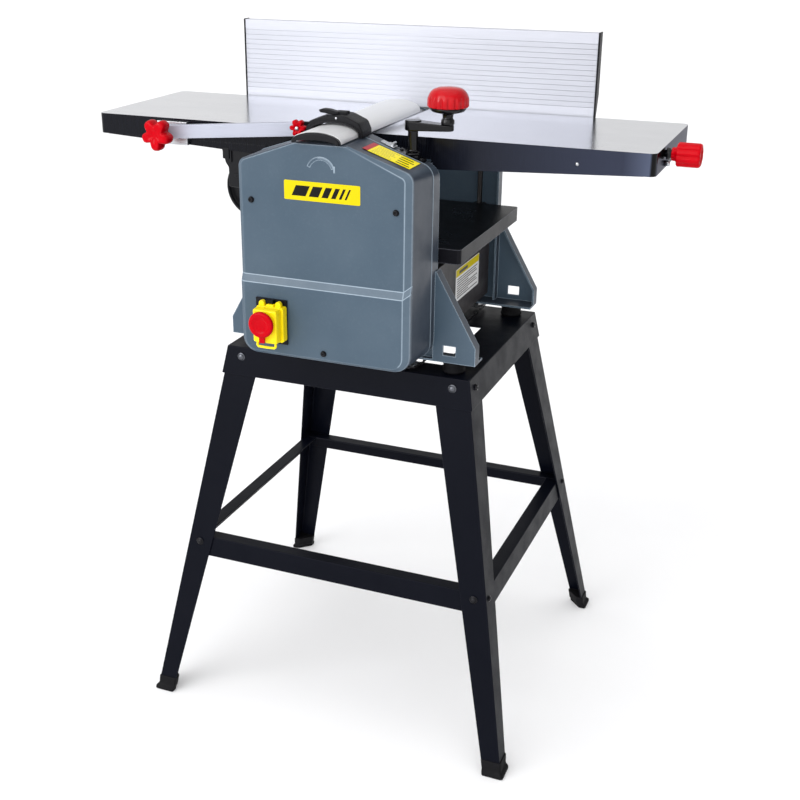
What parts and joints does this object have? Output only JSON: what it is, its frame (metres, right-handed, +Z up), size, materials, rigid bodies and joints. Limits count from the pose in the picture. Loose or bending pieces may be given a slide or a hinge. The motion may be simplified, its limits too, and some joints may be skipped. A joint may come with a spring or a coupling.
{
  "type": "jointer planer",
  "caption": "Surface planer and thicknesser on an open splayed-leg stand, with tilting fence, bridge guard, thicknessing table and chip hood.",
  "frame": {"origin": "on the floor, at the centre of the machine's bounding box", "axes": "+X along the tables towards the infeed end, +Y away from the operator, +Z up"},
  "size_m": [0.95, 0.6006, 1.0994],
  "materials": {
    "black_paint": "satin black paint",
    "casing_paint": "satin blue-grey paint",
    "motor_paint": "matt dark grey paint",
    "table_alloy": "ground top, painted edges",
    "cast_iron": "ground and painted",
    "aluminium": "satin anodised extrusion",
    "steel": "turned and oiled",
    "black_rubber": "matt",
    "black_plastic": "fine texture",
    "red_plastic": "glossy",
    "yellow_plastic": "glossy",
    "green_plastic": "glossy"
  },
  "bodies": {
    "machine_frame": {"stand_top": "black_paint", "stand_leg_front_left": "black_paint", "stand_leg_front_right": "black_paint", "stand_leg_rear_left": "black_paint", "stand_leg_rear_right": "black_paint", "stand_foot_front_left": "black_rubber", "stand_foot_front_right": "black_rubber", "stand_foot_rear_left": "black_rubber", "stand_foot_rear_right": "black_rubber", "stand_brace_front": "black_paint", "stand_brace_rear": "black_paint", "stand_brace_left": "black_paint", "stand_brace_right": "black_paint", "rubber_mount_front_left": "black_rubber", "rubber_mount_front_right": "black_rubber", "rubber_mount_rear_left": "black_rubber", "rubber_mount_rear_right": "black_rubber", "front_side_frame": "casing_paint", "rear_side_frame": "casing_paint", "base_housing": "black_paint", "drive_cover": "casing_paint", "motor": "motor_paint", "bearing_front": "steel", "bearing_rear": "steel", "drive_belt": "black_rubber", "lift_chain": "steel", "switch_base": "black_plastic", "crank_bracket": "black_plastic", "outfeed_table": "table_alloy", "guard_bracket": "steel", "fence_bracket": "black_paint", "dust_hood": "black_plastic"},
    "cutterhead_body": {"cutterhead": "steel", "knife_a": "steel", "knife_b": "steel", "cutterhead_pulley": "steel"},
    "motor_pulley_body": {"motor_pulley": "steel"},
    "feed_roller_left_body": {"feed_roller_left": "steel"},
    "feed_roller_right_body": {"feed_roller_right": "steel"},
    "crank_body": {"lead_screw_front": "steel", "crank_arm": "black_plastic"},
    "crank_knob_body": {"crank_knob": "red_plastic"},
    "rear_screw_body": {"lead_screw_rear": "steel"},
    "thickness_table_body": {"thickness_table": "cast_iron"},
    "infeed_table_body": {"infeed_table": "table_alloy"},
    "infeed_knob_body": {"infeed_knob": "red_plastic"},
    "guard_arm_body": {"guard_arm": "aluminium", "guard_holder": "black_plastic"},
    "guard_arm_knob_body": {"guard_arm_knob": "red_plastic"},
    "guard_profile_body": {"guard_profile": "aluminium", "guard_end_cap": "black_plastic"},
    "guard_lock_knob_body": {"guard_lock_knob": "red_plastic"},
    "fence_body": {"fence": "aluminium", "fence_cap_left": "black_plastic", "fence_cap_right": "black_plastic"},
    "fence_lever_body": {"fence_lock_lever": "black_plastic"},
    "switch_flap_body": {"switch_flap": "yellow_plastic"},
    "stop_mushroom_body": {"stop_mushroom": "red_plastic"},
    "start_button_body": {"start_button": "green_plastic"},
    "stop_button_body": {"stop_button": "red_plastic"}
  },
  "joints": [
    {"name": "cutterhead_spin", "type": "hinge", "parent": "machine_frame", "child": "cutterhead_body", "pos_m": [-0.023, 0.0057, 0.945], "axis": [0, 1, 0], "continuous": true},
    {"name": "motor_spin", "type": "hinge", "parent": "machine_frame", "child": "motor_pulley_body", "pos_m": [-0.016, 0.0057, 0.708], "axis": [0, 1, 0], "continuous": true},
    {"name": "feed_roller_left_spin", "type": "hinge", "parent": "machine_frame", "child": "feed_roller_left_body", "pos_m": [-0.073, 0.0057, 0.93], "axis": [0, 1, 0], "continuous": true},
    {"name": "feed_roller_right_spin", "type": "hinge", "parent": "machine_frame", "child": "feed_roller_right_body", "pos_m": [0.027, 0.0057, 0.93], "axis": [0, 1, 0], "continuous": true},
    {"name": "crank_turn", "type": "hinge", "parent": "machine_frame", "child": "crank_body", "pos_m": [0.084, -0.1603, 0.99], "axis": [0, 0, 1], "range_deg": [-1801, 18721]},
    {"name": "crank_knob_spin", "type": "hinge", "parent": "crank_body", "child": "crank_knob_body", "pos_m": [0.136, -0.1603, 1.02], "axis": [0, 0, 1], "continuous": true},
    {"name": "rear_screw_turn", "type": "hinge", "parent": "machine_frame", "child": "rear_screw_body", "pos_m": [0.084, 0.1647, 0.7], "axis": [0, 0, 1], "range_deg": [-1801, 18721]},
    {"name": "thickness_table_lift", "type": "slide", "parent": "machine_frame", "child": "thickness_table_body", "axis": [0, 0, 1], "range_m": [-0.01, 0.104]},
    {"name": "infeed_table_drop", "type": "slide", "parent": "machine_frame", "child": "infeed_table_body", "axis": [0, 0, 1], "range_m": [-0.003, 0]},
    {"name": "infeed_knob_turn", "type": "hinge", "parent": "infeed_table_body", "child": "infeed_knob_body", "pos_m": [0.457, -0.0553, 0.959], "axis": [1, 0, 0], "range_deg": [-1, 721]},
    {"name": "guard_arm_swing", "type": "hinge", "parent": "machine_frame", "child": "guard_arm_body", "pos_m": [-0.339, -0.1393, 0.951], "axis": [0, -1, 0], "range_deg": [0, 12]},
    {"name": "guard_arm_knob_turn", "type": "hinge", "parent": "machine_frame", "child": "guard_arm_knob_body", "pos_m": [-0.339, -0.1543, 0.951], "axis": [0, 1, 0], "range_deg": [0, 360]},
    {"name": "guard_profile_slide", "type": "slide", "parent": "guard_arm_body", "child": "guard_profile_body", "axis": [0, 1, 0], "range_m": [-0.2, 0.08]},
    {"name": "guard_lock_knob_turn", "type": "hinge", "parent": "guard_arm_body", "child": "guard_lock_knob_body", "pos_m": [-0.096, -0.1613, 0.977], "axis": [0, 1, 0], "range_deg": [0, 360]},
    {"name": "fence_tilt", "type": "hinge", "parent": "machine_frame", "child": "fence_body", "pos_m": [-0.023, 0.1557, 0.96], "axis": [-1, 0, 0], "range_deg": [0, 45]},
    {"name": "fence_lever_turn", "type": "hinge", "parent": "machine_frame", "child": "fence_lever_body", "pos_m": [0.082, 0.1557, 0.96], "axis": [-1, 0, 0], "range_deg": [0, 25]},
    {"name": "switch_flap_open", "type": "hinge", "parent": "machine_frame", "child": "switch_flap_body", "pos_m": [-0.1005, -0.2643, 0.7365], "axis": [-1, 0, 0], "range_deg": [0, 100]},
    {"name": "stop_mushroom_press", "type": "slide", "parent": "switch_flap_body", "child": "stop_mushroom_body", "axis": [0, 1, 0], "range_m": [0, 0.0025]},
    {"name": "stop_button_press", "type": "slide", "parent": "machine_frame", "child": "stop_button_body", "axis": [0, 1, 0], "range_m": [-0.00001, 0.00251]},
    {"name": "start_button_press", "type": "slide", "parent": "machine_frame", "child": "start_button_body", "axis": [0, 1, 0], "range_m": [0, 0.0025]}
  ],
  "couplings": [
    {"joint": "motor_spin", "follows": "cutterhead_spin", "ratio": 0.625},
    {"joint": "feed_roller_left_spin", "follows": "cutterhead_spin", "ratio": -0.0102},
    {"joint": "feed_roller_right_spin", "follows": "cutterhead_spin", "ratio": -0.0102},
    {"joint": "crank_turn", "follows": "thickness_table_lift", "rad_per_m": 3141.6},
    {"joint": "rear_screw_turn", "follows": "thickness_table_lift", "rad_per_m": 3141.6},
    {"joint": "infeed_knob_turn", "follows": "infeed_table_drop", "rad_per_m": -4188.8},
    {"joint": "stop_button_press", "follows": "stop_mushroom_press", "ratio": 1}
  ]
}
